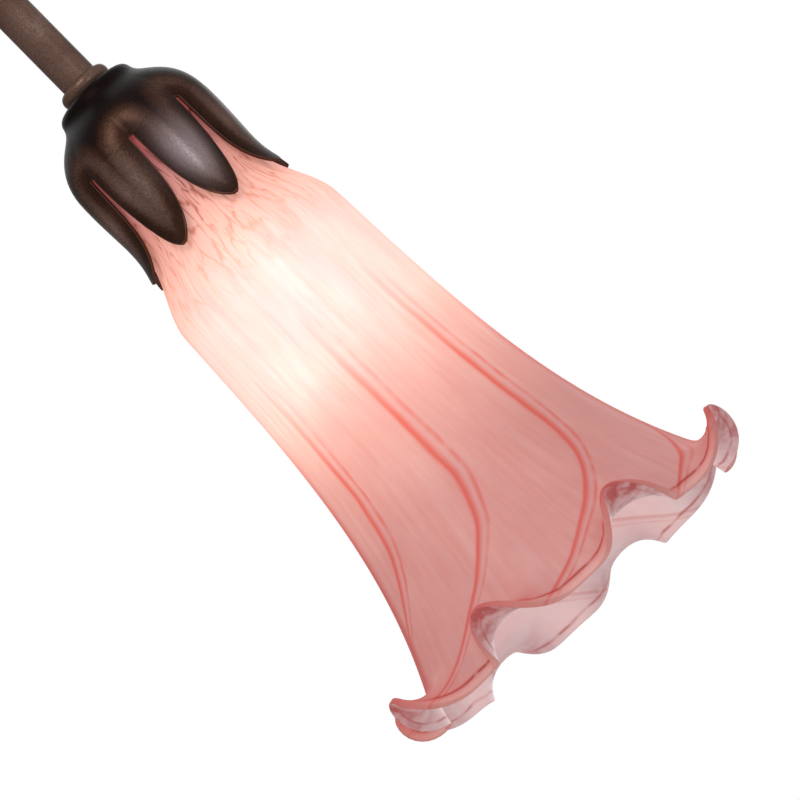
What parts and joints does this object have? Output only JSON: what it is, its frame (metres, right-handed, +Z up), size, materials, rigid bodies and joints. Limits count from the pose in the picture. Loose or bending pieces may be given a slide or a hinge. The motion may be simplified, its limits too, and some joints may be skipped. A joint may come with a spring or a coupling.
{
  "type": "table lamp",
  "caption": "Single-light table lamp: a ruffled lily-shaped blown glass shade in a leafed metal holder, on a bent tube arm that rises from a round weighted base.",
  "frame": {"origin": "middle of the underside of the round base, on the table", "axes": "+Z up out of the table, +X from the base towards the shade's mouth, +Y to the left of the lamp seen from behind"},
  "size_m": [0.5141, 0.19, 0.4163],
  "materials": {
    "bronze": "dark mahogany-bronze finish on metal, satin with a fine grain",
    "bronze_edge": "the same bronze finish, rubbed lighter",
    "iron": "rough grey iron casting",
    "felt": "dark green felt",
    "brass": "plain unlacquered brass",
    "steel": "zinc-plated steel",
    "black_plastic": "matt black moulded plastic",
    "phenolic": "dark brown-black moulded phenolic",
    "crimp": "ivory nylon",
    "wire": "dark plastic insulation, soft",
    "shade_glass": "blown art glass: translucent salmon pink over pale inner layer, with coral veins",
    "bulb_glass": "white-coated glass, lit warm",
    "bulb_metal": "plain metal cap",
    "filament": "thin drawn wire, lit warm",
    "tip": "black glassy insulator with a soldered point"
  },
  "bodies": {
    "lamp": {"felt_pad": "felt", "base_weight": "iron", "base_cover": "bronze", "base_nipple": "brass", "base_washer": "steel", "base_locknut": "steel", "cord_gland": "black_plastic", "crimp_caps": "crimp", "switch_body": "black_plastic", "switch_nut": "bronze_edge", "switch_lead": "wire", "stem_ring": "bronze", "arm_tube": "bronze", "socket_leads": "wire", "head_ring": "bronze", "head_nipple": "brass", "petal_holder": "bronze", "holder_washer": "steel", "holder_locknut": "steel", "socket_cap": "steel", "socket_body": "phenolic", "terminal_screws": "brass", "centre_contact": "brass", "screw_shell": "brass", "glass_shade": "shade_glass"},
    "shade_ring": {"shade_ring": "phenolic"},
    "bulb": {"bulb_cap": "bulb_metal", "bulb_tip": "tip", "bulb_stem": "bulb_glass", "bulb_filament": "filament", "bulb_glass": "bulb_glass"},
    "switch_knob": {"switch_shaft": "brass", "switch_knob": "bronze"}
  },
  "joints": [
    {"name": "bulb_turn", "type": "hinge", "parent": "lamp", "child": "bulb", "pos_m": [0.23021, 0, 0.33536], "axis": [0.7071, 0, -0.7071], "range_deg": [0, 1440]},
    {"name": "shade_ring_turn", "type": "hinge", "parent": "lamp", "child": "shade_ring", "pos_m": [0.22771, 0, 0.33785], "axis": [0.7071, 0, -0.7071], "range_deg": [0, 2880]},
    {"name": "switch_turn", "type": "hinge", "parent": "lamp", "child": "switch_knob", "pos_m": [0.06, 0, 0.03], "axis": [0, 0, 1], "continuous": true}
  ]
}
